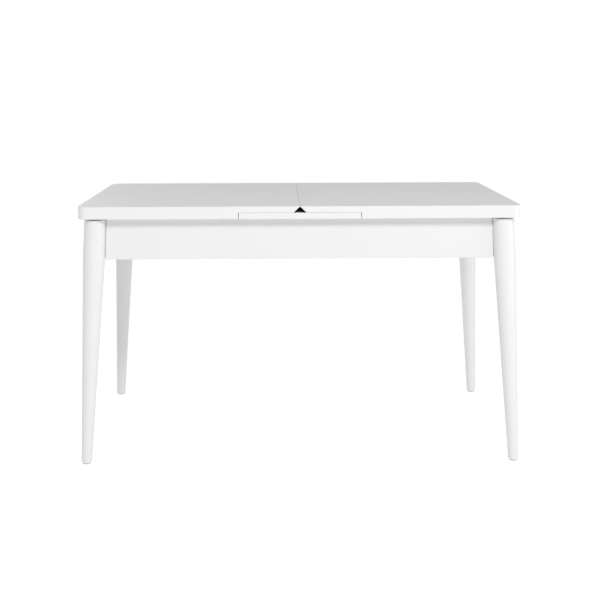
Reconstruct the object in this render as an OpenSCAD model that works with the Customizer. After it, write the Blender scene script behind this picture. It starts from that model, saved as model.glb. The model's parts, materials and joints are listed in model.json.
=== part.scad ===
// Extendable dining table: two sliding top halves, a hidden leaf that lifts flush, four splayed legs.
// Millimetres. Origin on the floor under the middle of the closed top.
// +X to the right along the top, -Y towards the front, +Z up.

/* [Top] */
// Width of the closed top
top_w = 1290; // [1100:5:1500]
// Depth of the top
top_d = 770; // [700:5:900]
// Height of the top surface
top_h = 770; // [730:1:780]
// Thickness of one board
board_t = 18; // [16:1:22]
// Corner radius of the top in plan
corner_r = 26; // [5:1:60]
// Thickness of the edge band
band_t = 1; // [0.5:0.1:2]
// Width of the lipping strips under the panels
lip_w = 74; // [50:1:90]
// Half gap between the closed halves
seam_gap = 0.15; // [0.1:0.05:0.5]
// Thickness of the black strips on the seam bevels, measured level
strip_t = 1.7; // [1:0.1:3]

/* [Leaf] */
// Width of the hidden leaf
leaf_w = 356; // [300:1:420]
// Gap at each side of the leaf in the lower layer
leaf_gap = 1.5; // [1:0.1:4]
// Gap over the stored leaf
leaf_drop = 0.5; // [0.3:0.1:2]
// Travel of each half
travel = 178.5; // [150:0.5:210]

/* [Legs] */
// Leg diameter beside the aprons
leg_d = 64; // [50:1:80]
// Leg diameter at the foot
foot_d = 29; // [22:1:40]
// Leg centre from the middle, along the top
leg_x = 598; // [560:1:620]
// Leg centre from the middle, front to back
leg_y = 345; // [320:1:360]
// Splay of each leg in both directions, in degrees
leg_splay = 3.5; // [0:0.1:6]
// Height of the foot glides
glide_h = 3; // [2:0.5:6]

/* [Frame] */
// Apron thickness
apron_t = 18; // [16:1:25]
// Underside of the aprons
apron_z = 612; // [580:1:630]
// Gap between the frame and the top
top_gap = 2; // [1:0.5:5]
// Outer face of the long aprons
apron_y = 353; // [330:1:365]
// Outer face of the end aprons
apron_x = 608; // [580:1:625]
// Top of the cross rails
cross_z = 660; // [640:1:670]

/* [Lift] */
// Height of the lever pivots
piv_z = 710; // [700:1:715]
// Pivot distance past the middle
piv_x = 15; // [10:1:25]
// Rest slope of the levers, in degrees
slope = 2.9665; // [2:0.0001:4]
// Outer face of the outer bracket plates
set_a = 271; // [240:1:290]
// Outer face of the inner bracket plates
set_b = 211; // [180:1:230]

/* [Hidden] */
$fn = 64;
under_z = top_h - board_t;
lip_z = under_z - board_t;
frame_z = lip_z - top_gap;
leaf_top = under_z - leaf_drop;
leaf_z = leaf_top - board_t;
cut_x = leaf_w / 2 + leaf_gap;
half_w = top_w / 2;
half_d = top_d / 2;
apron_in = apron_y - apron_t;
lever_u = 194;
bolt_rows = [apron_z + 36, apron_z + 60];
runner_screws = [210, 285, 360];
panel_screws = [220, 290];
axle_d = 8;
run_a = 190;
run_b = 380;
rail_bot = frame_z - 22;
rail_len = 1128;
bevel_a = seam_gap;
bevel_b = board_t - 1.05 + seam_gap - 0.15;

// ---------- helpers ----------
module along_y(len) {
  rotate([90, 0, 0])
    linear_extrude(len, center = true)
      children();
}

module box(x0, x1, y0, y1, z0, z1) {
  translate([x0, y0, z0])
    cube([x1 - x0, y1 - y0, z1 - z0]);
}

module front_back() {
  children();
  mirror([0, 1, 0])
    children();
}

module four_corners() {
  for (sx = [0, 1])
    for (sy = [0, 1])
      mirror([sx, 0, 0])
        mirror([0, sy, 0])
          children();
}

module rod_y(d, x, y0, y1, z) {
  translate([x, y1, z])
    rotate([90, 0, 0])
      cylinder(d = d, h = y1 - y0, $fn = 32);
}

module rod_x(d, x0, x1, y, z) {
  translate([x0, y, z])
    rotate([0, 90, 0])
      cylinder(d = d, h = x1 - x0, $fn = 32);
}

module rod_z(d, x, y, z0, z1) {
  translate([x, y, z0])
    cylinder(d = d, h = z1 - z0, $fn = 32);
}

module plan(inset) {
  w = top_w - 2 * inset;
  d = top_d - 2 * inset;
  r = corner_r - inset;
  square([w - 2 * r, d], center = true);
  square([w, d - 2 * r], center = true);
  for (sx = [-1, 1])
    for (sy = [-1, 1])
      translate([sx * (w / 2 - r), sy * (d / 2 - r)])
        circle(r, $fn = 96);
}

module half_plate(inset, x0, z0, z1) {
  translate([0, 0, z0])
    linear_extrude(z1 - z0)
      intersection() {
        plan(inset);
        translate([x0, -top_d])
          square([top_w, 2 * top_d]);
      }
}

// ---------- legs ----------
module leg_axis() {
  translate([leg_x, -leg_y, frame_z])
    rotate([-leg_splay, -leg_splay, 0])
      children();
}

module leg_turning() {
  low = frame_z + 14;
  rotate_extrude($fn = 96)
    polygon([
      [0, 8], [leg_d / 2, 8], [leg_d / 2, apron_z - frame_z],
      [foot_d / 2, -low], [0, -low]
    ]);
}

module bolt_line(q0, q1, z) {
  translate([leg_x, -leg_y, z])
    rotate([0, 0, 135])
      translate([q0, 0, 0])
        rotate([0, 90, 0])
          children();
}

module leg_bolt_set(d) {
  for (z = bolt_rows)
    bolt_line(-14, 0, z)
      cylinder(d = d, h = 90, $fn = 32);
}

module leg_front_right_body() {
  difference() {
    intersection() {
      leg_axis()
        leg_turning();
      box(400, 800, -600, -200, glide_h, frame_z);
    }
    box(0, leg_x - 14, -apron_y, -apron_in, apron_z, frame_z + 5);
    box(apron_x - apron_t, apron_x, -leg_y + 14, 0, apron_z, frame_z + 5);
    leg_bolt_set(8.1);
  }
}

module leg_front_right() {
  color([0.93, 0.93, 0.92])
    leg_front_right_body();
}

module leg_front_left() {
  color([0.93, 0.93, 0.92])
    mirror([1, 0, 0])
      leg_front_right_body();
}

module leg_back_right() {
  color([0.93, 0.93, 0.92])
    mirror([0, 1, 0])
      leg_front_right_body();
}

module leg_back_left() {
  color([0.93, 0.93, 0.92])
    mirror([1, 0, 0])
      mirror([0, 1, 0])
        leg_front_right_body();
}

module foot_glides() {
  k = (frame_z - glide_h) * tan(leg_splay);
  color([0.75, 0.75, 0.74])
    four_corners()
      translate([leg_x + k, -leg_y - k / cos(leg_splay), 0])
        cylinder(d = 24, h = glide_h, $fn = 48);
}

// ---------- aprons and joints ----------
module dowel_set() {
  for (x = [-300, 0, 300])
    for (z = [apron_z + 14, apron_z + 36])
      rod_y(8, x, -apron_y + 6, -apron_in + 20, z);
}

module block_screw_set(d) {
  for (z = [apron_z + 24, apron_z + 48, apron_z + 71]) {
    rod_y(d, leg_x - 59, -apron_in - 12, -apron_in + 21, z);
    rod_x(d, apron_x - apron_t - 21, apron_x - 6, -leg_y + 61, z);
  }
}

module rail_screw_set(d) {
  for (x = [-500, -250, 50, 250, 500])
    rod_y(d, x, -apron_in - 12, -apron_in + 2, rail_bot - 7);
}

module apron_long() {
  difference() {
    box(-leg_x + 14, leg_x - 14, -apron_y, -apron_in, apron_z, frame_z);
    dowel_set();
    block_screw_set(4);
    mirror([1, 0, 0])
      block_screw_set(4);
    rail_screw_set(3.5);
    leg_bolt_set(9);
    mirror([1, 0, 0])
      leg_bolt_set(9);
  }
}

module apron_front() {
  color([0.93, 0.93, 0.92])
    apron_long();
}

module apron_back() {
  color([0.93, 0.93, 0.92])
    mirror([0, 1, 0])
      apron_long();
}

module apron_end() {
  difference() {
    box(apron_x - apron_t, apron_x, -leg_y + 14, leg_y - 14, apron_z, frame_z);
    front_back()
      block_screw_set(4);
  }
}

module apron_right() {
  color([0.93, 0.93, 0.92])
    apron_end();
}

module apron_left() {
  color([0.93, 0.93, 0.92])
    mirror([1, 0, 0])
      apron_end();
}

module corner_blocks() {
  q0 = 33.5 * sqrt(2);
  q1 = 61.5 * sqrt(2);
  xa = apron_x - apron_t;
  ya = apron_in;
  kx = leg_x + leg_y;
  color([0.80, 0.66, 0.46])
    four_corners()
      difference() {
        translate([0, 0, apron_z + 14])
          linear_extrude(66)
            polygon([
              [kx - ya - q0, -ya], [xa, -(kx - xa - q0)],
              [xa, -(kx - xa - q1)], [kx - ya - q1, -ya]
            ]);
        leg_bolt_set(8.6);
        block_screw_set(4);
      }
}

module block_screws() {
  color([0.78, 0.78, 0.80])
    four_corners()
      block_screw_set(4);
}

module leg_bolts() {
  color([0.78, 0.78, 0.80])
    four_corners()
      leg_bolt_set(8);
}

module leg_washers() {
  color([0.78, 0.78, 0.80])
    four_corners()
      for (z = bolt_rows)
        bolt_line(61.5, 0, z)
          difference() {
            cylinder(d = 22, h = 2, $fn = 48);
            translate([0, 0, -1])
              cylinder(d = 8, h = 4, $fn = 32);
          }
}

module leg_nuts() {
  color([0.78, 0.78, 0.80])
    four_corners()
      for (z = bolt_rows)
        bolt_line(63.5, 0, z)
          difference() {
            linear_extrude(6.5)
              circle(d = 15, $fn = 6);
            translate([0, 0, -1])
              cylinder(d = 8, h = 9, $fn = 32);
          }
}

module cross_rail(x) {
  difference() {
    box(x - 20, x + 20, -apron_in, apron_in, apron_z + 4, cross_z);
    front_back()
      dowel_set();
    bracket_screw_set();
  }
}

module centre_rail() {
  color([0.80, 0.66, 0.46])
    cross_rail(0);
}

module side_rails() {
  color([0.80, 0.66, 0.46]) {
    cross_rail(-300);
    cross_rail(300);
  }
}

module dowels() {
  color([0.84, 0.72, 0.52])
    front_back()
      dowel_set();
}

// ---------- fixed slide rails on the long aprons ----------
module slide_rail() {
  a = -apron_in;
  x = rail_len / 2;
  difference() {
    union() {
      box(-x, x, a, a + 2, rail_bot - 14, rail_bot + 19);
      box(-x, x, a, a + 16, rail_bot, rail_bot + 2);
      box(-x, x, a + 14, a + 16, rail_bot, rail_bot + 19);
      box(-x, x, a, a + 5.5, rail_bot + 17, rail_bot + 19);
      box(-x, x, a + 10.5, a + 16, rail_bot + 17, rail_bot + 19);
    }
    rail_screw_set(3.5);
  }
}

module slide_rail_front() {
  color([0.78, 0.78, 0.80])
    slide_rail();
}

module slide_rail_back() {
  color([0.78, 0.78, 0.80])
    mirror([0, 1, 0])
      slide_rail();
}

module rail_screws() {
  color([0.78, 0.78, 0.80])
    front_back()
      for (x = [-500, -250, 50, 250, 500]) {
        rod_y(3.5, x, -apron_in - 12, -apron_in + 2, rail_bot - 7);
        rod_y(7, x, -apron_in + 2, -apron_in + 3.8, rail_bot - 7);
      }
}

// ---------- lift: pieces of one side, for the outer set ----------
module sloped() {
  translate([-piv_x, 0, piv_z])
    rotate([0, slope, 0])
      children();
}

function slope_x(u, w) = -piv_x + u * cos(slope) + w * sin(slope);
function slope_z(u, w) = piv_z - u * sin(slope) + w * cos(slope);

module lift_bracket(y) {
  difference() {
    union() {
      box(-27, 20, -y, -y + 3, cross_z, piv_z + 12);
      box(-20, 20, -y, -y + 26, cross_z, cross_z + 3);
    }
    rod_y(8, -piv_x, -y - 1, -y + 4, piv_z);
    for (x = [-12, 12])
      rod_z(4, x, -y + 15, cross_z - 1, cross_z + 4);
  }
}

module bracket_screw_set() {
  front_back()
    for (y = [set_a, set_b])
      for (x = [-12, 12])
        rod_z(4, x, -y + 15, cross_z - 16, cross_z + 3);
}

module pivot_pin(y) {
  rod_y(8, -piv_x, -y, -y + 5.8, piv_z);
  rod_y(13, -piv_x, -y - 3, -y, piv_z);
}

module lever(y) {
  difference() {
    sloped()
      union() {
        box(-13, lever_u, -y + 4, -y + 6, -10.7, 10.7);
        box(-13, lever_u, -y + 4, -y + 18.5, 8.7, 10.7);
        box(-13, lever_u, -y + 4, -y + 18.5, -10.7, -8.7);
      }
    rod_y(8.1, -piv_x, -y + 3, -y + 7, piv_z);
  }
}

module axle(y) {
  rod_y(axle_d, -piv_x, -y + 7, -y + 35, piv_z);
}

module roller(y) {
  difference() {
    rod_y(17, -piv_x, -y + 7.2, -y + 17.8, piv_z);
    rod_y(axle_d, -piv_x, -y + 6, -y + 19, piv_z);
  }
}

module shoe(y) {
  difference() {
    sloped()
      box(-8, 8, -y + 26, -y + 35, -7.6, 7.6);
    rod_y(8.1, -piv_x, -y + 25, -y + 36, piv_z);
  }
}

module leaf_rail(y) {
  difference() {
    union() {
      translate([0, -y + 36.5, 0])
        along_y(2)
          polygon([
            [slope_x(-10, -9.8), slope_z(-10, -9.8)],
            [slope_x(189, -9.8), slope_z(189, -9.8)],
            [slope_x(189, -9.8), leaf_z], [slope_x(-10, -9.8), leaf_z]
          ]);
      sloped() {
        box(-10, 189, -y + 25.5, -y + 36, 7.8, 9.8);
        box(-10, 189, -y + 25.5, -y + 36, -9.8, -7.8);
      }
      box(slope_x(-10, -9.8), slope_x(189, -9.8), -y + 37, -y + 58, leaf_z - 2, leaf_z);
    }
    leaf_screw_line(y, 4.2);
  }
}

module leaf_screw_line(y, d) {
  for (x = [-12, 75, 160])
    rod_z(d, x, -y + 48, leaf_z - 3, leaf_z + 13);
}

module leaf_screw(y) {
  for (x = [-12, 75, 160]) {
    rod_z(4, x, -y + 48, leaf_z - 2, leaf_z + 13);
    rod_z(8, x, -y + 48, leaf_z - 3.6, leaf_z - 2);
  }
}

module drive_bar(y) {
  difference() {
    union() {
      box(-piv_x - 14, 240, -y + 20.5, -y + 23.5, piv_z - 17, piv_z + 17);
      box(200, 310, -y + 20.5, -y + 23.5, piv_z - 17, under_z);
      box(200, 310, -y + 0.5, -y + 23.5, under_z - 3, under_z);
    }
    box(-piv_x - 4.4, -piv_x + 4.4, -y + 19, -y + 25, piv_z - 14.2, piv_z + 14.2);
    for (x = panel_screws)
      rod_z(4.2, x, -y + 10, under_z - 4, under_z + 1);
  }
}

module lift_brackets_right() {
  color([0.78, 0.78, 0.80])
    front_back()
      lift_bracket(set_a);
}

module lift_brackets_left() {
  color([0.78, 0.78, 0.80])
    mirror([1, 0, 0])
      front_back()
        lift_bracket(set_b);
}

module bracket_screws() {
  color([0.78, 0.78, 0.80]) {
    bracket_screw_set();
    front_back()
      for (y = [set_a, set_b])
        for (x = [-12, 12])
          rod_z(8, x, -y + 15, cross_z + 3, cross_z + 4.8);
  }
}

module pivot_pins_right() {
  color([0.78, 0.78, 0.80])
    front_back()
      pivot_pin(set_a);
}

module pivot_pins_left() {
  color([0.78, 0.78, 0.80])
    mirror([1, 0, 0])
      front_back()
        pivot_pin(set_b);
}

module levers_right() {
  color([0.72, 0.73, 0.75])
    front_back()
      lever(set_a);
}

module levers_left() {
  color([0.72, 0.73, 0.75])
    mirror([1, 0, 0])
      front_back()
        lever(set_b);
}

module axles_right() {
  color([0.78, 0.78, 0.80])
    front_back()
      axle(set_a);
}

module axles_left() {
  color([0.78, 0.78, 0.80])
    mirror([1, 0, 0])
      front_back()
        axle(set_b);
}

module rollers_right() {
  color([0.15, 0.15, 0.16])
    front_back()
      roller(set_a);
}

module rollers_left() {
  color([0.15, 0.15, 0.16])
    mirror([1, 0, 0])
      front_back()
        roller(set_b);
}

module shoes_right() {
  color([0.15, 0.15, 0.16])
    front_back()
      shoe(set_a);
}

module shoes_left() {
  color([0.15, 0.15, 0.16])
    mirror([1, 0, 0])
      front_back()
        shoe(set_b);
}

// ---------- leaf ----------
module leaf_board() {
  color([0.93, 0.93, 0.92])
    difference() {
      box(-leaf_w / 2, leaf_w / 2, -half_d + band_t, half_d - band_t, leaf_z, leaf_top);
      front_back()
        leaf_screw_line(set_a, 4);
      mirror([1, 0, 0])
        front_back()
          leaf_screw_line(set_b, 4);
    }
}

module leaf_edge_bands() {
  color([0.94, 0.94, 0.93])
    front_back()
      box(-leaf_w / 2, leaf_w / 2, -half_d, -half_d + band_t, leaf_z, leaf_top);
}

module leaf_rails_right() {
  color([0.72, 0.73, 0.75])
    front_back()
      leaf_rail(set_a);
}

module leaf_rails_left() {
  color([0.72, 0.73, 0.75])
    mirror([1, 0, 0])
      front_back()
        leaf_rail(set_b);
}

module leaf_screws() {
  color([0.78, 0.78, 0.80])
    front_back() {
      leaf_screw(set_a);
      mirror([1, 0, 0])
        leaf_screw(set_b);
    }
}

// ---------- one half of the top, as the right half ----------
module seam_cut(w) {
  along_y(2 * top_d)
    polygon([
      [-5, top_h + 5], [bevel_a, top_h + 5], [bevel_a, top_h - 1.2],
      [bevel_a + 1.05, top_h - 2.25], [bevel_a + 1.05 + w, top_h - 2.25],
      [bevel_b + w, under_z], [bevel_b + w, under_z - 1], [-5, under_z - 1]
    ]);
}

module panel_screw_set(y, d) {
  front_back()
    for (x = panel_screws)
      rod_z(d, x, -y + 10, under_z - 3, under_z + 11);
}

module runner_screw_set(d) {
  for (x = runner_screws)
    rod_z(d, x, -apron_in + 17, lip_z - 2, lip_z + 13);
}

module half_panel(y) {
  difference() {
    half_plate(band_t, bevel_a, under_z, top_h);
    seam_cut(strip_t);
    panel_screw_set(y, 4);
  }
}

module half_band() {
  difference() {
    union() {
      half_plate(0, bevel_a, under_z, top_h);
      half_plate(0, cut_x, lip_z, under_z);
    }
    half_plate(band_t, -10, lip_z - 1, top_h + 1);
    seam_cut(strip_t);
  }
}

module half_lipping_long() {
  difference() {
    intersection() {
      half_plate(band_t, cut_x, lip_z, under_z);
      box(0, top_w, -half_d, -half_d + lip_w, lip_z, under_z);
    }
    runner_screw_set(4);
  }
}

module half_lipping_end() {
  box(half_w - lip_w, half_w - band_t, -half_d + lip_w, half_d - lip_w, lip_z, under_z);
}

module half_strip() {
  along_y(top_d)
    polygon([
      [bevel_a + 1.05, top_h - 2.25], [bevel_a + 1.05 + strip_t, top_h - 2.25],
      [bevel_b + strip_t, under_z], [bevel_b, under_z]
    ]);
}

module half_runner_bars() {
  front_back()
    box(12, run_b, -apron_in + 2.5, -apron_in + 13.5, rail_bot + 2.3, rail_bot + 16.5);
}

module half_runner_angles() {
  front_back()
    difference() {
      union() {
        box(run_a, run_b, -apron_in + 6, -apron_in + 10, rail_bot + 16.5, lip_z);
        box(run_a, run_b, -apron_in + 0.5, -apron_in + 22, lip_z - 2, lip_z);
      }
      runner_screw_set(4.2);
    }
}

module half_screws(y) {
  front_back() {
    runner_screw_set(4);
    for (x = runner_screws)
      rod_z(7.5, x, -apron_in + 17, lip_z - 3.6, lip_z - 2);
    for (x = panel_screws)
      rod_z(8, x, -y + 10, under_z - 4.6, under_z - 3);
  }
  panel_screw_set(y, 4);
}

module right_top_panel() {
  color([0.93, 0.93, 0.92])
    half_panel(set_a);
}

module right_lipping_front() {
  color([0.93, 0.93, 0.92])
    half_lipping_long();
}

module right_lipping_back() {
  color([0.93, 0.93, 0.92])
    mirror([0, 1, 0])
      half_lipping_long();
}

module right_lipping_end() {
  color([0.93, 0.93, 0.92])
    half_lipping_end();
}

module right_edge_band() {
  color([0.94, 0.94, 0.93])
    half_band();
}

module right_seam_strip() {
  color([0.05, 0.05, 0.05])
    half_strip();
}

module right_runner_bars() {
  color([0.15, 0.15, 0.16])
    half_runner_bars();
}

module right_runner_angles() {
  color([0.78, 0.78, 0.80])
    half_runner_angles();
}

module right_drive_bars() {
  color([0.72, 0.73, 0.75])
    front_back()
      drive_bar(set_a);
}

module right_screws() {
  color([0.78, 0.78, 0.80])
    half_screws(set_a);
}

module left_top_panel() {
  color([0.93, 0.93, 0.92])
    mirror([1, 0, 0])
      half_panel(set_b);
}

module left_lipping_front() {
  color([0.93, 0.93, 0.92])
    mirror([1, 0, 0])
      half_lipping_long();
}

module left_lipping_back() {
  color([0.93, 0.93, 0.92])
    mirror([1, 0, 0])
      mirror([0, 1, 0])
        half_lipping_long();
}

module left_lipping_end() {
  color([0.93, 0.93, 0.92])
    mirror([1, 0, 0])
      half_lipping_end();
}

module left_edge_band() {
  color([0.94, 0.94, 0.93])
    mirror([1, 0, 0])
      half_band();
}

module left_seam_strip() {
  color([0.05, 0.05, 0.05])
    mirror([1, 0, 0])
      half_strip();
}

module left_runner_bars() {
  color([0.15, 0.15, 0.16])
    mirror([1, 0, 0])
      half_runner_bars();
}

module left_runner_angles() {
  color([0.78, 0.78, 0.80])
    mirror([1, 0, 0])
      half_runner_angles();
}

module left_drive_bars() {
  color([0.72, 0.73, 0.75])
    mirror([1, 0, 0])
      front_back()
        drive_bar(set_b);
}

module left_screws() {
  color([0.78, 0.78, 0.80])
    mirror([1, 0, 0])
      half_screws(set_b);
}

leg_front_left();
leg_front_right();
leg_back_left();
leg_back_right();
foot_glides();
apron_front();
apron_back();
apron_left();
apron_right();
corner_blocks();
leg_bolts();
leg_washers();
leg_nuts();
block_screws();
centre_rail();
side_rails();
dowels();
slide_rail_front();
slide_rail_back();
rail_screws();
lift_brackets_right();
lift_brackets_left();
pivot_pins_right();
pivot_pins_left();
bracket_screws();
right_top_panel();
right_lipping_front();
right_lipping_back();
right_lipping_end();
right_edge_band();
right_seam_strip();
right_runner_bars();
right_runner_angles();
right_drive_bars();
right_screws();
left_top_panel();
left_lipping_front();
left_lipping_back();
left_lipping_end();
left_edge_band();
left_seam_strip();
left_runner_bars();
left_runner_angles();
left_drive_bars();
left_screws();
leaf_board();
leaf_edge_bands();
leaf_rails_right();
leaf_rails_left();
leaf_screws();
levers_right();
levers_left();
axles_right();
axles_left();
rollers_right();
rollers_left();
shoes_right();
shoes_left();
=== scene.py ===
"""Extendable dining table: the finished pieces around its CAD frame.

The two halves of the top ride on right_half and left_half, the hidden board on leaf,
and the lift's levers, axles and shoes on bodies of their own. Everything is in metres.
"""

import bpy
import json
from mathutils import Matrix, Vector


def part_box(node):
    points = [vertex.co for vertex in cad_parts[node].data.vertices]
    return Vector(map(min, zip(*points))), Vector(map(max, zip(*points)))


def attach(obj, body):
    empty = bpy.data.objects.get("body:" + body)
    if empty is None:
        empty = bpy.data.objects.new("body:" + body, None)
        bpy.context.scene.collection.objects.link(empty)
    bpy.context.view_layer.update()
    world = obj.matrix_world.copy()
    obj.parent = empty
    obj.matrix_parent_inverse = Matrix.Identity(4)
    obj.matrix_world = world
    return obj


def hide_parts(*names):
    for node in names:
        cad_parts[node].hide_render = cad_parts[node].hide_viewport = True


bl_info = {
    "name": "Extendable Dining Table",
    "version": (1, 0, 0),
    "blender": (4, 5, 0),
    "location": "View3D > Sidebar > Table",
    "description": "Builds a white dining table with a hidden lifting leaf",
    "category": "Add Mesh",
}

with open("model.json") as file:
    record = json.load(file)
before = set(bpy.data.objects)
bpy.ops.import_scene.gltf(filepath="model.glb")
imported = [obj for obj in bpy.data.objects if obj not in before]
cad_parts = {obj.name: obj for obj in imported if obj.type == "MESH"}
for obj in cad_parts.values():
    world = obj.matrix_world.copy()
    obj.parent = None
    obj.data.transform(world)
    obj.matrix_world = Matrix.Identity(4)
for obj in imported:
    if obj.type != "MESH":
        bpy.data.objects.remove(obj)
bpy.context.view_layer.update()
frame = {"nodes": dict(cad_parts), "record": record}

import json
import math

import bmesh
import bpy
from bpy.props import FloatProperty, FloatVectorProperty
from bpy.types import Operator, Panel, PropertyGroup
from mathutils import Matrix, Vector

NODE_BODY = {
    node: body
    for body, nodes in frame["record"]["behaviour"]["bodies"].items()
    for node in nodes
}
HALVES = ("right", "left")
UP = Vector((0, 0, 1))

SHARP = math.radians(28)  # faces that meet at more than this have an edge to round
FLAT = math.radians(0.4)  # faces that meet at less than this are one face
SAME_PLACE = 1e-6  # metres; verts that lie closer than this are one
LEG_STEPS, SCREW_STEPS, GLIDE_STEPS = 96, 32, 48


# ---------------------------------------------------------------- settings
def length(name, default, text):
    """A size that the user may change, in metres."""
    return FloatProperty(
        name=name, default=default, min=0.0, precision=5, unit="LENGTH", description=text
    )


def colour(name, default, text):
    """A colour that the user may change."""
    return FloatVectorProperty(
        name=name, default=default, size=3, min=0.0, max=1.0, subtype="COLOR", description=text
    )


def amount(name, default, text):
    """A plain number that the user may change."""
    return FloatProperty(name=name, default=default, min=0.0, precision=3, description=text)


def power(name, default, text):
    """The power of a lamp, in watts."""
    return FloatProperty(name=name, default=default, min=0.0, unit="POWER", description=text)


class TableShape(PropertyGroup):
    """Sizes of the wooden pieces."""

    leg_x: length("Leg along", 0.598, "Leg centre from the middle, along the top")
    leg_y: length("Leg across", 0.345, "Leg centre from the middle, front to back")
    leg_top: length("Leg diameter", 0.064, "Leg diameter beside the aprons")
    leg_foot: length("Foot diameter", 0.029, "Leg diameter at the floor")
    leg_splay: FloatProperty(
        name="Leg splay",
        default=math.radians(3.5),
        subtype="ANGLE",
        description="Tilt of each leg outwards in both directions",
    )
    leg_arris: length("Leg top arris", 0.0012, "Rounding of the top of each leg")
    foot_round: length("Foot rounding", 0.0022, "Rounding of the bottom of each leg")
    glide_height: length("Glide height", 0.003, "Height of the plastic glides")
    joint_gap: length("Joint gap", 0.0028, "Shadow gap between an apron and a leg")
    head_gap: length("Head gap", 0.0024, "How far the top of a leg lies below the aprons")
    shoulder: length("Tenon shoulder", 0.006, "Step from the apron's face to its tenon")
    gap_arris: length("Leaf gap arris", 0.0013, "Rounding of the upright edges beside the leaf")
    board_arris: length("Board arris", 0.0007, "Rounding of the edge band's arrises")
    panel_arris: length("Panel arris", 0.00015, "Rounding of the laminate's own edge")
    wood_arris: length("Wood arris", 0.0012, "Rounding of aprons, rails and blocks")
    metal_arris: length("Metal arris", 0.0003, "Rounding of pressed steel edges")


class TableColours(PropertyGroup):
    """Colours of the finishes."""

    laminate: colour("Laminate", (0.75, 0.75, 0.747), "Top, leaf and lipping faces")
    band: colour("Edge band", (0.755, 0.755, 0.752), "Edge bands")
    lacquer: colour("Lacquer", (0.75, 0.75, 0.748), "Legs and aprons")
    strip: colour("Seam strip", (0.024, 0.024, 0.025), "Black strips on the seam bevels")
    bare: colour("Bare wood", (0.60, 0.42, 0.24), "Blocks, cross rails and dowels")
    bare_dark: colour("Bare wood grain", (0.44, 0.28, 0.14), "Darker lines of the bare wood")
    zinc: colour("Zinc", (0.60, 0.61, 0.63), "Screws, nuts, brackets and slide rails")
    pressed: colour("Pressed steel", (0.50, 0.51, 0.53), "Levers, drive bars and leaf rails")
    nylon: colour("Nylon", (0.022, 0.022, 0.024), "Runner bars, rollers and shoes")
    glide: colour("Foot glide", (0.62, 0.62, 0.60), "Glides under the legs")


class TableStudio(PropertyGroup):
    """Camera and lights."""

    camera: FloatVectorProperty(
        name="Camera place",
        default=(-0.0633, -3.7223, 1.1329),
        subtype="TRANSLATION",
        unit="LENGTH",
        description="Where the camera stands",
    )
    focal: FloatProperty(
        name="Focal length", default=69.4, min=1.0, description="Lens in mm on a 36 mm frame"
    )
    pitch: FloatProperty(
        name="Pitch", default=0.1891, subtype="ANGLE", description="How far the camera looks down"
    )
    turn: FloatProperty(
        name="Turn", default=0.0187, subtype="ANGLE", description="Camera turned to the right"
    )
    roll: FloatProperty(
        name="Roll", default=-0.0024, subtype="ANGLE", description="Camera rolled about its view"
    )
    key: power("Key light", 180.0, "Large light at the front, a little to the right")
    side: power("Side light", 9.0, "Low light at the right end of the table")
    back: power("Back light", 110.0, "Light behind the table")
    horizon: amount("Horizon", 1.02, "Brightness of the studio near the floor")
    belt: amount("Walls", 0.04, "Brightness of the studio walls above the horizon")
    overhead: amount("Overhead", 0.78, "Brightness of the studio overhead")
    floor_glow: amount("Floor glow", 0.98, "Light that the white floor gives by itself")


def shape():
    return bpy.context.scene.table_shape


def colours():
    return bpy.context.scene.table_colours


def studio():
    return bpy.context.scene.table_studio


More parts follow.
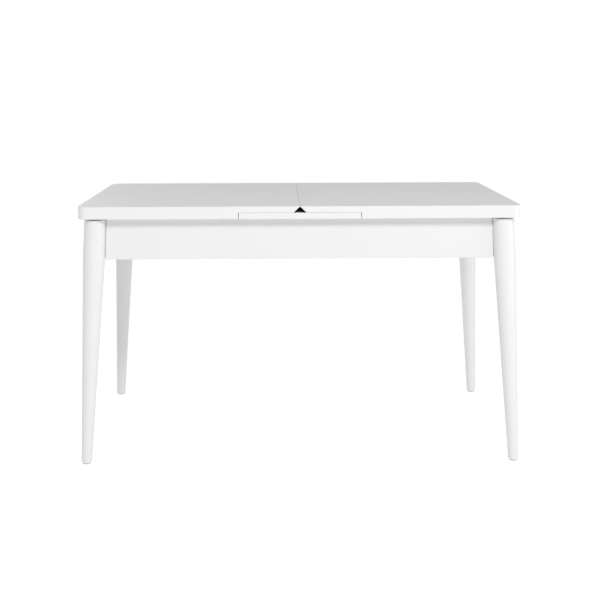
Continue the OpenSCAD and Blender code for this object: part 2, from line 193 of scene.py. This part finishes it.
# ---------------------------------------------------------------- finishes
class Finish:
    """A material under construction: a Principled surface and the nodes that feed it."""

    def __init__(self, name, base, roughness, metallic=0.0, specular=0.5):
        self.material = bpy.data.materials.new(name)
        self.material.use_nodes = True
        self.material.diffuse_color = (*base, 1.0)
        self.tree = self.material.node_tree
        self.tree.nodes.clear()
        output = self.tree.nodes.new("ShaderNodeOutputMaterial")
        self.surface = self.tree.nodes.new("ShaderNodeBsdfPrincipled")
        self.tree.links.new(self.surface.outputs["BSDF"], output.inputs["Surface"])
        self.surface.inputs["Base Color"].default_value = (*base, 1.0)
        self.surface.inputs["Roughness"].default_value = roughness
        self.surface.inputs["Metallic"].default_value = metallic
        self.surface.inputs["Specular IOR Level"].default_value = specular
        self.place = self.tree.nodes.new("ShaderNodeTexCoord")

    def link(self, source, target):
        self.tree.links.new(source, target)

    def stretched(self, scale):
        """Object coordinates scaled per axis, as for grain that runs one way."""
        mapping = self.tree.nodes.new("ShaderNodeMapping")
        mapping.inputs["Scale"].default_value = scale
        self.link(self.place.outputs["Object"], mapping.inputs["Vector"])
        return mapping.outputs["Vector"]

    def noise(self, scale, detail=2.0, rough=0.5, vector=None, distortion=0.0):
        noise = self.tree.nodes.new("ShaderNodeTexNoise")
        noise.inputs["Scale"].default_value = scale
        noise.inputs["Detail"].default_value = detail
        noise.inputs["Roughness"].default_value = rough
        noise.inputs["Distortion"].default_value = distortion
        self.link(vector or self.place.outputs["Object"], noise.inputs["Vector"])
        return noise.outputs["Fac"]

    def spread(self, factor, low, high, start=0.3, end=0.7):
        """Maps a noise from start..end to low..high."""
        spread = self.tree.nodes.new("ShaderNodeMapRange")
        spread.inputs["From Min"].default_value = start
        spread.inputs["From Max"].default_value = end
        spread.inputs["To Min"].default_value = low
        spread.inputs["To Max"].default_value = high
        self.link(factor, spread.inputs["Value"])
        return spread.outputs["Result"]

    def blend(self, factor, first, second):
        """Colour between first and second; either may be a colour or a socket."""
        mix = self.tree.nodes.new("ShaderNodeMix")
        mix.data_type = "RGBA"
        self.link(factor, mix.inputs["Factor"])
        for socket, value in ((mix.inputs["A"], first), (mix.inputs["B"], second)):
            if isinstance(value, bpy.types.NodeSocket):
                self.link(value, socket)
            else:
                socket.default_value = (*value, 1.0)
        return mix.outputs["Result"]

    def colour_from(self, socket):
        self.link(socket, self.surface.inputs["Base Color"])

    def roughness_from(self, socket):
        self.link(socket, self.surface.inputs["Roughness"])

    def relief(self, height, depth, strength=1.0, under=None):
        """A bump of that depth in metres. Returns the normal so that another can lie on it."""
        bump = self.tree.nodes.new("ShaderNodeBump")
        bump.inputs["Strength"].default_value = strength
        bump.inputs["Distance"].default_value = depth
        self.link(height, bump.inputs["Height"])
        if under is not None:
            self.link(under, bump.inputs["Normal"])
        self.link(bump.outputs["Normal"], self.surface.inputs["Normal"])
        return bump.outputs["Normal"]


def shade(base, factor):
    return tuple(min(1.0, channel * factor) for channel in base)


def grain_scale(axis, along=0.045):
    """Scale that stretches a pattern along one axis, given as x, y or z."""
    return tuple(along if axis == name else 1.0 for name in "xyz")


def laminate_finish():
    """Satin white laminate with a fine pearl texture."""
    base = tuple(colours().laminate)
    finish = Finish("white_laminate", base, 0.42)
    clouds = finish.noise(2.2, 4.0, 0.6)
    finish.colour_from(finish.blend(clouds, shade(base, 0.985), shade(base, 1.012)))
    finish.roughness_from(finish.spread(finish.noise(14.0, 3.0), 0.38, 0.46))
    broad = finish.relief(finish.noise(60.0, 2.0), 0.00004, 0.25)
    finish.relief(finish.noise(1400.0, 2.0), 0.00003, 0.35, broad)
    return finish.material


def band_finish():
    """Smooth white edge band, a little glossier than the laminate."""
    base = tuple(colours().band)
    finish = Finish("white_edge_band", base, 0.34)
    streaks = finish.noise(260.0, 2.0, 0.5, finish.stretched((0.05, 0.05, 1.0)))
    finish.colour_from(finish.blend(streaks, shade(base, 0.99), shade(base, 1.008)))
    finish.roughness_from(finish.spread(streaks, 0.31, 0.38))
    finish.relief(streaks, 0.00003, 0.3)
    return finish.material


def lacquer_finish(axis):
    """White lacquer over wood: the grain shows only as faint relief along the axis."""
    base = tuple(colours().lacquer)
    finish = Finish("white_lacquer_" + axis, base, 0.36)
    finish.surface.inputs["Coat Weight"].default_value = 0.15
    finish.surface.inputs["Coat Roughness"].default_value = 0.25
    pores = finish.noise(420.0, 3.0, 0.55, finish.stretched(grain_scale(axis)))
    clouds = finish.noise(5.0, 3.0, 0.5)
    finish.colour_from(finish.blend(clouds, shade(base, 0.982), shade(base, 1.01)))
    finish.roughness_from(finish.spread(pores, 0.32, 0.41))
    fibres = finish.relief(pores, 0.00006, 0.35)
    finish.relief(finish.noise(900.0, 2.0), 0.00003, 0.25, fibres)
    return finish.material


def bare_wood_finish(axis):
    """Sanded bare wood with growth rings and fine fibres along the axis."""
    light, dark = tuple(colours().bare), tuple(colours().bare_dark)
    finish = Finish("bare_wood_" + axis, light, 0.62, specular=0.3)
    grain = finish.stretched(grain_scale(axis, 0.06))
    rings = finish.tree.nodes.new("ShaderNodeTexWave")
    rings.wave_type = "RINGS"
    rings.rings_direction = axis.upper()
    rings.inputs["Scale"].default_value = 22.0
    rings.inputs["Distortion"].default_value = 5.0
    rings.inputs["Detail"].default_value = 3.0
    rings.inputs["Detail Scale"].default_value = 1.4
    finish.link(grain, rings.inputs["Vector"])
    fibres = finish.noise(520.0, 4.0, 0.6, grain)
    ringed = finish.blend(finish.spread(rings.outputs["Fac"], 0.0, 0.75, 0.1, 0.9), light, dark)
    flecked = finish.blend(finish.spread(fibres, 0.0, 0.5, 0.45, 0.75), ringed, shade(dark, 0.8))
    finish.colour_from(flecked)
    finish.roughness_from(finish.spread(fibres, 0.55, 0.72))
    finish.relief(fibres, 0.0001, 0.5)
    return finish.material


def zinc_finish():
    """Bright zinc plating with a faint cloudy spangle."""
    base = tuple(colours().zinc)
    finish = Finish("zinc_plate", base, 0.3, metallic=1.0)
    clouds = finish.noise(55.0, 4.0, 0.6)
    warm = (base[0] * 1.01, base[1] * 0.99, base[2] * 0.95)
    finish.colour_from(finish.blend(finish.spread(clouds, 0.0, 0.7), base, warm))
    finish.roughness_from(finish.spread(finish.noise(160.0, 3.0), 0.24, 0.4))
    finish.relief(finish.noise(700.0, 2.0), 0.00004, 0.3)
    return finish.material


def pressed_steel_finish():
    """Plated pressed steel with rolling lines along its length."""
    base = tuple(colours().pressed)
    finish = Finish("pressed_steel", base, 0.36, metallic=1.0)
    lines = finish.noise(900.0, 2.0, 0.5, finish.stretched((0.03, 1.0, 1.0)))
    finish.colour_from(finish.blend(lines, shade(base, 0.9), shade(base, 1.08)))
    finish.roughness_from(finish.spread(lines, 0.28, 0.46))
    finish.relief(lines, 0.00004, 0.3)
    return finish.material


def nylon_finish():
    """Black nylon with a fine moulded grain."""
    base = tuple(colours().nylon)
    finish = Finish("black_nylon", base, 0.5, specular=0.4)
    clouds = finish.noise(90.0, 3.0)
    finish.colour_from(finish.blend(clouds, base, shade(base, 1.5)))
    finish.roughness_from(finish.spread(clouds, 0.42, 0.58))
    finish.relief(finish.noise(1300.0, 2.0), 0.00005, 0.4)
    return finish.material


def strip_finish():
    """Matt black strip with fine ribs along its length."""
    base = tuple(colours().strip)
    finish = Finish("black_seam_strip", base, 0.62, specular=0.3)
    ribs = finish.tree.nodes.new("ShaderNodeTexWave")
    ribs.wave_type = "BANDS"
    ribs.bands_direction = "Z"
    ribs.inputs["Scale"].default_value = 160.0
    finish.link(finish.place.outputs["Object"], ribs.inputs["Vector"])
    dust = finish.noise(240.0, 3.0)
    finish.colour_from(finish.blend(dust, base, shade(base, 1.8)))
    finish.roughness_from(finish.spread(dust, 0.55, 0.7))
    finish.relief(ribs.outputs["Fac"], 0.0002, 0.6)
    return finish.material


def glide_finish():
    """Off-white moulded plastic of the foot glides."""
    base = tuple(colours().glide)
    finish = Finish("glide_plastic", base, 0.48)
    scuffs = finish.noise(300.0, 4.0, 0.6, distortion=0.6)
    finish.colour_from(finish.blend(finish.spread(scuffs, 0.0, 0.8), base, shade(base, 0.82)))
    finish.roughness_from(finish.spread(scuffs, 0.42, 0.6))
    finish.relief(scuffs, 0.00004, 0.4)
    return finish.material


MAKERS = {
    "laminate": laminate_finish,
    "band": band_finish,
    "lacquer_x": lambda: lacquer_finish("x"),
    "lacquer_y": lambda: lacquer_finish("y"),
    "lacquer_z": lambda: lacquer_finish("z"),
    "bare_x": lambda: bare_wood_finish("x"),
    "bare_y": lambda: bare_wood_finish("y"),
    "zinc": zinc_finish,
    "pressed": pressed_steel_finish,
    "nylon": nylon_finish,
    "strip": strip_finish,
    "glide": glide_finish,
}
made = {}


def finish_named(name):
    """The finish of that name, made the first time it is asked for."""
    if name not in made:
        made[name] = MAKERS[name]()
    return made[name]


# ---------------------------------------------------------------- shaping
def merged_copy(node):
    """A bmesh of a CAD node's solid faces, its loose triangles joined again."""
    bm = bmesh.new()
    bm.from_mesh(frame["nodes"][node].data)
    bmesh.ops.remove_doubles(bm, verts=bm.verts[:], dist=SAME_PLACE)
    bmesh.ops.dissolve_limit(bm, angle_limit=FLAT, verts=bm.verts[:], edges=bm.edges[:])
    return bm


def round_edges(bm, width, segments=2, choose=None, clamp=True):
    """Rounds the sharp edges that pass the choice."""
    edges = [
        edge
        for edge in bm.edges
        if len(edge.link_faces) == 2
        and edge.calc_face_angle(0.0) > SHARP
        and (choose is None or choose(edge))
    ]
    if edges and width > 0:
        bmesh.ops.bevel(
            bm,
            geom=edges,
            offset=width,
            offset_type="OFFSET",
            segments=segments,
            profile=0.5,
            affect="EDGES",
            clamp_overlap=clamp,
            material=-1,
        )
        bmesh.ops.remove_doubles(bm, verts=bm.verts[:], dist=2 * SAME_PLACE)
        loose = [edge for edge in bm.edges if edge.is_wire]
        bmesh.ops.delete(bm, geom=loose, context="EDGES")


def finished(bm, node, finish, second=None, where=None):
    """Makes the piece that stands for a CAD node and rides where the node rides.

    Faces that pass the test take the second finish.
    """
    name = node + "_piece"
    mesh = bpy.data.meshes.new(name)
    for face in bm.faces:
        face.smooth = True
        face.material_index = 1 if where is not None and where(face) else 0
    bm.to_mesh(mesh)
    bm.free()
    piece = bpy.data.objects.new(name, mesh)
    bpy.context.scene.collection.objects.link(piece)
    mesh.materials.append(finish_named(finish))
    if second is not None:
        mesh.materials.append(finish_named(second))
    weighted = piece.modifiers.new("Flat faces stay flat", "WEIGHTED_NORMAL")
    weighted.weight = 90
    weighted.keep_sharp = True
    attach(piece, NODE_BODY[node])
    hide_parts(node)


def softened(node, finish, width, segments=2, choose=None, clamp=True):
    """A CAD node's own shape with rounded edges and its finish."""
    bm = merged_copy(node)
    round_edges(bm, width, segments, choose, clamp)
    finished(bm, node, finish)


def outer_edge(edge):
    """True for the arris between a level face and a face that looks away from the middle."""
    middle = (edge.verts[0].co + edge.verts[1].co) / 2
    level = [face for face in edge.link_faces if abs(face.normal.z) > 0.9]
    upright = [face for face in edge.link_faces if abs(face.normal.z) < 0.1]
    if not level or not upright:
        return False
    out = upright[0].normal
    return out.x * middle.x + out.y * middle.y > 0.3


def seam_face(face):
    """True for the upright faces and arrises that meet at the seam."""
    return abs(face.normal.x) > 0.5 and abs(face.calc_center_median().x) < 0.001


def gap_edge(edge):
    """True for the upright outer edges on both sides of the gap at the leaf's ends."""
    middle = (edge.verts[0].co + edge.verts[1].co) / 2
    run = edge.verts[0].co - edge.verts[1].co
    upright = abs(run.z) > 0.9 * run.length
    return (
        upright
        and abs(abs(middle.x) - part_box("leaf_board")[1].x) < 0.003
        and abs(middle.y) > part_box("leaf_board")[1].y - 0.0004
    )


def edge_band(node):
    """An edge band with a rounded arris, more rounded beside the leaf's gap."""
    band = merged_copy(node)
    round_edges(band, shape().gap_arris, 3, gap_edge)
    round_edges(band, shape().board_arris, 3, outer_edge)
    finished(band, node, "band")


def lathe(bm, profile, steps):
    """Spins a profile of (radius, height) pairs about the upright axis."""
    made_verts = [bm.verts.new((radius, 0.0, height)) for radius, height in profile]
    edges = [bm.edges.new(pair) for pair in zip(made_verts, made_verts[1:])]
    bmesh.ops.spin(
        bm,
        geom=made_verts + edges,
        cent=(0, 0, 0),
        axis=(0, 0, 1),
        angle=math.tau,
        steps=steps,
        use_merge=True,
    )
    bmesh.ops.remove_doubles(bm, verts=bm.verts[:], dist=SAME_PLACE)


def arc(centre, radius, start, end, count):
    """Points of a round corner, as (radius, height) pairs."""
    points = []
    for i in range(count + 1):
        a = start + (end - start) * i / count
        points.append((centre[0] + radius * math.cos(a), centre[1] + radius * math.sin(a)))
    return points


def joined(target, source, matrix):
    """Adds a copy of source, placed by matrix, to target."""
    mesh = bpy.data.meshes.new("part")
    source.to_mesh(mesh)
    mesh.transform(matrix)
    if matrix.determinant() < 0:
        mesh.flip_normals()
    target.from_mesh(mesh)
    bpy.data.meshes.remove(mesh)


def islands(bm):
    """The separate solids of a bmesh, each as a list of its verts."""
    seen = set()
    groups = []
    for seed in bm.verts:
        if seed in seen:
            continue
        seen.add(seed)
        group, front = [seed], [seed]
        while front:
            for edge in front.pop().link_edges:
                for vert in edge.verts:
                    if vert not in seen:
                        seen.add(vert)
                        group.append(vert)
                        front.append(vert)
        groups.append(group)
    return groups


def facing(direction):
    """Rotation that takes the upright axis to the direction."""
    return UP.rotation_difference(direction).to_matrix().to_4x4()


# ---------------------------------------------------------------- operators
class TABLE_OT_halves(Operator):
    """Both halves of the top: panels, lippings, edge bands and black seam strips"""

    bl_idname = "dining_table.halves"
    bl_label = "Top halves"

    def execute(self, context):
        sizes = shape()
        for side in HALVES:
            panel = merged_copy(side + "_top_panel")
            round_edges(panel, sizes.panel_arris, 1)
            finished(panel, side + "_top_panel", "laminate", "strip", seam_face)
            for place in ("front", "back", "end"):
                softened(f"{side}_lipping_{place}", "laminate", sizes.panel_arris, 1)
            edge_band(side + "_edge_band")
            softened(side + "_seam_strip", "strip", sizes.panel_arris, 1)
        return {"FINISHED"}


class TABLE_OT_leaf(Operator):
    """The hidden leaf and its edge bands"""

    bl_idname = "dining_table.leaf"
    bl_label = "Leaf"

    def execute(self, context):
        sizes = shape()
        softened("leaf_board", "laminate", sizes.panel_arris, 1)
        edge_band("leaf_edge_bands")
        return {"FINISHED"}


class TABLE_OT_legs(Operator):
    """Four turned and tapered legs, splayed both ways and cut level"""

    bl_idname = "dining_table.legs"
    bl_label = "Legs"

    def execute(self, context):
        for node in ("leg_front_right", "leg_front_left", "leg_back_right", "leg_back_left"):
            self.leg(node)
        return {"FINISHED"}

    def leg(self, node):
        sizes = shape()
        low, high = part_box(node)
        apron_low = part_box("apron_front")[0].z
        top, foot = sizes.leg_top / 2, sizes.leg_foot / 2
        spare, reach = 0.008, high.z + 0.014  # the tilted ends stick out and are cut off
        taper = apron_low - high.z
        bm = bmesh.new()
        profile = [(0.0, spare), (top, spare), (top, taper), (foot, -reach), (0.0, -reach)]
        lathe(bm, profile, LEG_STEPS)
        splay = -sizes.leg_splay
        tilt = Matrix.Rotation(splay, 4, "Y") @ Matrix.Rotation(splay, 4, "X")
        place = Matrix.Translation((sizes.leg_x, -sizes.leg_y, high.z)) @ tilt
        bmesh.ops.transform(bm, matrix=place, verts=bm.verts[:])
        for level, outward in ((high.z - sizes.head_gap, UP), (sizes.glide_height, -UP)):
            cut = bmesh.ops.bisect_plane(
                bm,
                geom=bm.verts[:] + bm.edges[:] + bm.faces[:],
                plane_co=(0, 0, level),
                plane_no=outward,
                clear_outer=True,
            )
            rim = [g for g in cut["geom_cut"] if isinstance(g, bmesh.types.BMEdge)]
            bmesh.ops.holes_fill(bm, edges=rim)
        side, end = 1 if "right" in node else -1, 1 if "front" in node else -1
        bmesh.ops.transform(bm, matrix=Matrix.Diagonal((side, end, 1, 1)), verts=bm.verts[:])
        bmesh.ops.recalc_face_normals(bm, faces=bm.faces[:])
        middle = (low.z + high.z) / 2
        round_edges(bm, sizes.leg_arris, 3, lambda e: e.verts[0].co.z > middle)
        round_edges(bm, sizes.foot_round, 4, lambda e: e.verts[0].co.z < middle)
        finished(bm, node, "lacquer_z")


class TABLE_OT_aprons(Operator):
    """Four aprons, each with a tenon at both ends and a shadow gap beside the legs"""

    bl_idname = "dining_table.aprons"
    bl_label = "Aprons"

    def execute(self, context):
        for node in ("apron_front", "apron_back"):
            self.apron(node, 0)
        for node in ("apron_left", "apron_right"):
            self.apron(node, 1)
        return {"FINISHED"}

    def leg_edge(self, run, height):
        """Where the leg's surface meets the apron's outer face, along the apron."""
        sizes = shape()
        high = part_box("leg_front_right")[1].z
        lean = (high - height) * math.tan(sizes.leg_splay)
        centre = (sizes.leg_x, sizes.leg_y)[run] + lean
        across = (sizes.leg_y, sizes.leg_x)[run] + lean
        face = (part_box("apron_back")[1].y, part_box("apron_right")[1].x)[run]
        return centre - math.sqrt(max(0.0, (sizes.leg_top / 2) ** 2 - (across - face) ** 2))

    def apron(self, node, run):
        """run is the axis that the apron runs along: 0 for x, 1 for y."""
        sizes = shape()
        low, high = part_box(node)
        bm = bmesh.new()
        bmesh.ops.create_cube(bm, size=1.0)
        for vert in bm.verts:
            for axis in range(3):
                vert.co[axis] = high[axis] if vert.co[axis] > 0 else low[axis]
            edge = self.leg_edge(run, vert.co.z) - sizes.joint_gap
            vert.co[run] = math.copysign(edge, vert.co[run])
        ends = [f for f in bm.faces if abs(f.normal[run]) > 0.9]
        bmesh.ops.inset_individual(bm, faces=ends, thickness=sizes.shoulder)
        pushed = bmesh.ops.extrude_discrete_faces(bm, faces=ends)["faces"]
        for face in pushed:
            for vert in face.verts:
                end = high[run] - sizes.joint_gap
                vert.co[run] = math.copysign(end, vert.co[run])
        bmesh.ops.recalc_face_normals(bm, faces=bm.faces[:])
        round_edges(bm, sizes.wood_arris, 2, lambda e: self.long_arris(e, run))
        finished(bm, node, "lacquer_" + "xy"[run])

    def long_arris(self, edge, run):
        along = edge.verts[0].co - edge.verts[1].co
        return abs(along[run]) > 0.5  # longer than any edge of a shoulder or tenon


class TABLE_OT_glides(Operator):
    """Moulded glides under the legs, each with a small dimple below"""

    bl_idname = "dining_table.glides"
    bl_label = "Foot glides"

    def execute(self, context):
        height = shape().glide_height
        bm = bmesh.new()
        glide = bmesh.new()
        low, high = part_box("foot_glides")
        radius, rim = 0.012, 0.0012
        dimple = [(0.0, 0.0008), (0.0022, 0.0008), (0.0030, 0.0)]
        edge = arc((radius - rim, rim), rim, -math.pi / 2, 0.0, 4)
        lathe(glide, dimple + edge + [(radius, height), (0.0, height)], GLIDE_STEPS)
        bmesh.ops.recalc_face_normals(glide, faces=glide.faces[:])
        for x in (low.x + radius, high.x - radius):
            for y in (low.y + radius, high.y - radius):
                joined(bm, glide, Matrix.Translation((x, y, 0)))
        glide.free()
        finished(bm, "foot_glides", "glide")
        return {"FINISHED"}


class TABLE_OT_inner_wood(Operator):
    """Corner blocks, cross rails and their dowels"""

    bl_idname = "dining_table.inner_wood"
    bl_label = "Inner wood"

    def execute(self, context):
        arris = shape().wood_arris
        softened("corner_blocks", "bare_x", arris)
        softened("centre_rail", "bare_y", arris)
        softened("side_rails", "bare_y", arris)
        softened("dowels", "bare_y", arris / 2)
        return {"FINISHED"}


class TABLE_OT_slides(Operator):
    """Slide rails on the aprons, and the runners of both halves"""

    bl_idname = "dining_table.slides"
    bl_label = "Slides"

    def execute(self, context):
        arris = shape().metal_arris
        for place in ("front", "back"):
            softened("slide_rail_" + place, "zinc", arris)
        for side in HALVES:
            softened(side + "_runner_bars", "nylon", arris * 2)
            softened(side + "_runner_angles", "zinc", arris)
        return {"FINISHED"}


class TABLE_OT_lift(Operator):
    """The lift: brackets, pins, levers, axles, rollers, shoes, drive bars and leaf rails"""

    bl_idname = "dining_table.lift"
    bl_label = "Leaf lift"

    def execute(self, context):
        arris = shape().metal_arris
        for side in HALVES:
            for node in ("lift_brackets_", "pivot_pins_", "axles_"):
                softened(node + side, "zinc", arris)
            softened("levers_" + side, "pressed", arris)
            softened("leaf_rails_" + side, "pressed", arris, clamp=False)
            for node in ("rollers_", "shoes_"):
                softened(node + side, "nylon", arris * 2)
            softened(side + "_drive_bars", "pressed", arris)
        return {"FINISHED"}


class TABLE_OT_leg_fixings(Operator):
    """Bolts, washers and nuts that hold the legs to the corner blocks"""

    bl_idname = "dining_table.leg_fixings"
    bl_label = "Leg fixings"

    def execute(self, context):
        arris = shape().metal_arris
        softened("leg_bolts", "zinc", arris * 2)
        softened("leg_washers", "zinc", arris)
        softened("leg_nuts", "zinc", arris * 2)
        return {"FINISHED"}


class TABLE_OT_screws(Operator):
    """Pan head screws with a cross recess, one for each screw of the frame"""

    bl_idname = "dining_table.screws"
    bl_label = "Screws"

    def execute(self, context):
        for node in (
            "block_screws",
            "rail_screws",
            "bracket_screws",
            "right_screws",
            "left_screws",
            "leaf_screws",
        ):
            self.screws(node)
        return {"FINISHED"}

    def screws(self, node):
        """New screws in the places of the node's solids."""
        source = merged_copy(node)
        bm = bmesh.new()
        for group in islands(source):
            place, shank, head, total = self.measured([v.co.copy() for v in group])
            screw = self.one_screw(shank, head, total)
            joined(bm, screw, place)
            screw.free()
        source.free()
        finished(bm, node, "zinc")

    def measured(self, points):
        """Where a screw's head sits and points, its two radii and its length."""
        low = Vector([min(p[i] for p in points) for i in range(3)])
        high = Vector([max(p[i] for p in points) for i in range(3)])
        span, middle = high - low, (low + high) / 2
        run = max(range(3), key=lambda i: span[i])
        near_end = 0.0005
        girth = {True: 0.0, False: 0.0}  # radius at the upper and at the lower end
        for p in points:
            off = p - middle
            upper = off[run] > 0
            off[run] = 0
            if abs(p[run] - (high[run] if upper else low[run])) < near_end:
                girth[upper] = max(girth[upper], off.length)
        if abs(girth[True] - girth[False]) < 0.0002:
            upper = abs(high[run]) < abs(low[run])  # no head to see: the inner end gets it
        else:
            upper = girth[True] > girth[False]
        out = Vector((0, 0, 0))
        out[run] = 1.0 if upper else -1.0
        head = middle.copy()
        head[run] = high[run] if upper else low[run]
        shank = min(girth.values())
        place = Matrix.Translation(head) @ facing(out)
        return place, shank, max(girth[upper], shank * 1.7), span[run]

    def one_screw(self, shank, head, total):
        """A screw whose head's top is at the origin, pointing up."""
        rise = 0.0018
        bm = bmesh.new()
        dome = [(head * 0.55, 0.0), (head * 0.85, -rise * 0.25), (head, -rise * 0.7)]
        stem = [(head, -rise), (shank, -rise), (shank, -total), (0.0, -total)]
        lathe(bm, dome + stem, SCREW_STEPS)
        rim = [e for e in bm.edges if e.is_boundary]
        cap = bmesh.ops.contextual_create(bm, geom=rim)["faces"]
        bmesh.ops.inset_region(bm, faces=cap, thickness=head * 0.1, use_even_offset=True)
        self.make_cross(cap[0], head * 0.13, head * 0.42)
        sunk = bmesh.ops.extrude_discrete_faces(bm, faces=cap)["faces"]
        for vert in sunk[0].verts:
            vert.co.z -= rise * 0.6
            vert.co.x *= 0.7
            vert.co.y *= 0.7
        bmesh.ops.recalc_face_normals(bm, faces=bm.faces[:])
        return bm

    def make_cross(self, cap, slot, reach):
        """Moves the verts of a round cap onto a cross of that half width and reach."""
        for vert in cap.verts:
            angle = math.atan2(vert.co.y, vert.co.x)
            off = (angle + math.pi / 4) % (math.pi / 2) - math.pi / 4
            if abs(math.tan(off)) <= slot / reach:
                size = reach / math.cos(off)
            else:
                size = slot / abs(math.sin(off))
            vert.co.x, vert.co.y = size * math.cos(angle), size * math.sin(angle)


class TABLE_OT_stage(Operator):
    """Pale floor, soft lights and the camera"""

    bl_idname = "dining_table.stage"
    bl_label = "Stage"

    def execute(self, context):
        self.floor()
        self.sky(context.scene)
        light = studio()
        self.lamp("key_light", (1.1, -4.7, 4.1), (0.0, 0.0, 0.6), 1.5, light.key)
        self.lamp("side_light", (2.8, -1.0, 0.9), (0.0, 0.0, 0.5), 1.4, light.side)
        self.lamp("back_light", (-3.4, 5.8, 3.4), (0.0, 0.0, 0.5), 2.5, light.back)
        self.camera(context.scene)
        return {"FINISHED"}

    def floor(self):
        bm = bmesh.new()
        bmesh.ops.create_circle(bm, cap_ends=True, radius=60.0, segments=96)
        bmesh.ops.translate(bm, verts=bm.verts[:], vec=(0, 0, -0.0003))
        mesh = bpy.data.meshes.new("floor")
        bm.to_mesh(mesh)
        bm.free()
        floor = bpy.data.objects.new("floor", mesh)
        bpy.context.scene.collection.objects.link(floor)
        finish = Finish("pale_floor", (0.06, 0.06, 0.06), 0.9, specular=0.0)
        finish.surface.inputs["Emission Color"].default_value = (1, 1, 1, 1)
        finish.surface.inputs["Emission Strength"].default_value = studio().floor_glow
        dust = finish.noise(3.0, 3.0)
        finish.colour_from(finish.blend(dust, (0.055, 0.055, 0.055), (0.065, 0.065, 0.065)))
        mesh.materials.append(finish.material)

    def sky(self, scene):
        """White near the floor, dim walls above it and a soft ceiling."""
        world = bpy.data.worlds.new("studio_sky")
        world.use_nodes = True
        nodes, links = world.node_tree.nodes, world.node_tree.links
        direction = nodes.new("ShaderNodeTexCoord")
        split = nodes.new("ShaderNodeSeparateXYZ")
        fade = nodes.new("ShaderNodeValToRGB")
        light = studio()
        stops = ((0.0, 1.0), (0.10, 1.0), (0.22, light.belt), (0.5, light.belt))
        for at, level in (*stops, (0.7, light.overhead)):
            stop = fade.color_ramp.elements.new(at)
            stop.color = (level, level, level, 1.0)
        fade.color_ramp.elements.remove(fade.color_ramp.elements[0])
        last = fade.color_ramp.elements[-1]
        last.color = (light.overhead, light.overhead, light.overhead, 1.0)
        links.new(direction.outputs["Generated"], split.inputs["Vector"])
        links.new(split.outputs["Z"], fade.inputs["Fac"])
        links.new(fade.outputs["Color"], nodes["Background"].inputs["Color"])
        nodes["Background"].inputs["Strength"].default_value = light.horizon
        scene.world = world

    def lamp(self, name, place, target, size, power):
        data = bpy.data.lights.new(name, "AREA")
        data.shape = "SQUARE"
        data.size = size
        data.energy = power
        lamp = bpy.data.objects.new(name, data)
        lamp.location = place
        aim = Vector(target) - Vector(place)
        lamp.rotation_euler = aim.to_track_quat("-Z", "Y").to_euler()
        bpy.context.scene.collection.objects.link(lamp)

    def camera(self, scene):
        view = studio()
        data = bpy.data.cameras.new("camera")
        data.sensor_width = 36.0
        data.lens = view.focal
        camera = bpy.data.objects.new("camera", data)
        scene.collection.objects.link(camera)
        camera.matrix_world = (
            Matrix.Translation(view.camera)
            @ Matrix.Rotation(-view.turn, 4, "Z")
            @ Matrix.Rotation(math.pi / 2 - view.pitch, 4, "X")
            @ Matrix.Rotation(view.roll, 4, "Z")
        )
        scene.camera = camera
        scene.view_settings.view_transform = "Standard"


OPERATORS = (
    TABLE_OT_halves,
    TABLE_OT_leaf,
    TABLE_OT_legs,
    TABLE_OT_aprons,
    TABLE_OT_glides,
    TABLE_OT_inner_wood,
    TABLE_OT_slides,
    TABLE_OT_lift,
    TABLE_OT_leg_fixings,
    TABLE_OT_screws,
    TABLE_OT_stage,
)


class TABLE_PT_panel(Panel):
    """Lists the pieces of the table and their settings"""

    bl_idname = "TABLE_PT_panel"
    bl_label = "Extendable table"
    bl_space_type = "VIEW_3D"
    bl_region_type = "UI"
    bl_category = "Table"

    def draw(self, context):
        column = self.layout.column()
        for operator in OPERATORS:
            column.operator(operator.bl_idname)
        for settings in (shape(), colours(), studio()):
            column.separator()
            for name in settings.__annotations__:
                column.prop(settings, name)


CLASSES = (TableShape, TableColours, TableStudio, *OPERATORS, TABLE_PT_panel)


def register():
    for cls in CLASSES:
        bpy.utils.register_class(cls)
    bpy.types.Scene.table_shape = bpy.props.PointerProperty(type=TableShape)
    bpy.types.Scene.table_colours = bpy.props.PointerProperty(type=TableColours)
    bpy.types.Scene.table_studio = bpy.props.PointerProperty(type=TableStudio)


def unregister():
    del bpy.types.Scene.table_studio
    del bpy.types.Scene.table_colours
    del bpy.types.Scene.table_shape
    for cls in reversed(CLASSES):
        bpy.utils.unregister_class(cls)


def main():
    register()
    for operator in OPERATORS:
        group, name = operator.bl_idname.split(".")
        getattr(getattr(bpy.ops, group), name)()
    bpy.context.view_layer.update()


if __name__ == "__main__":
    main()
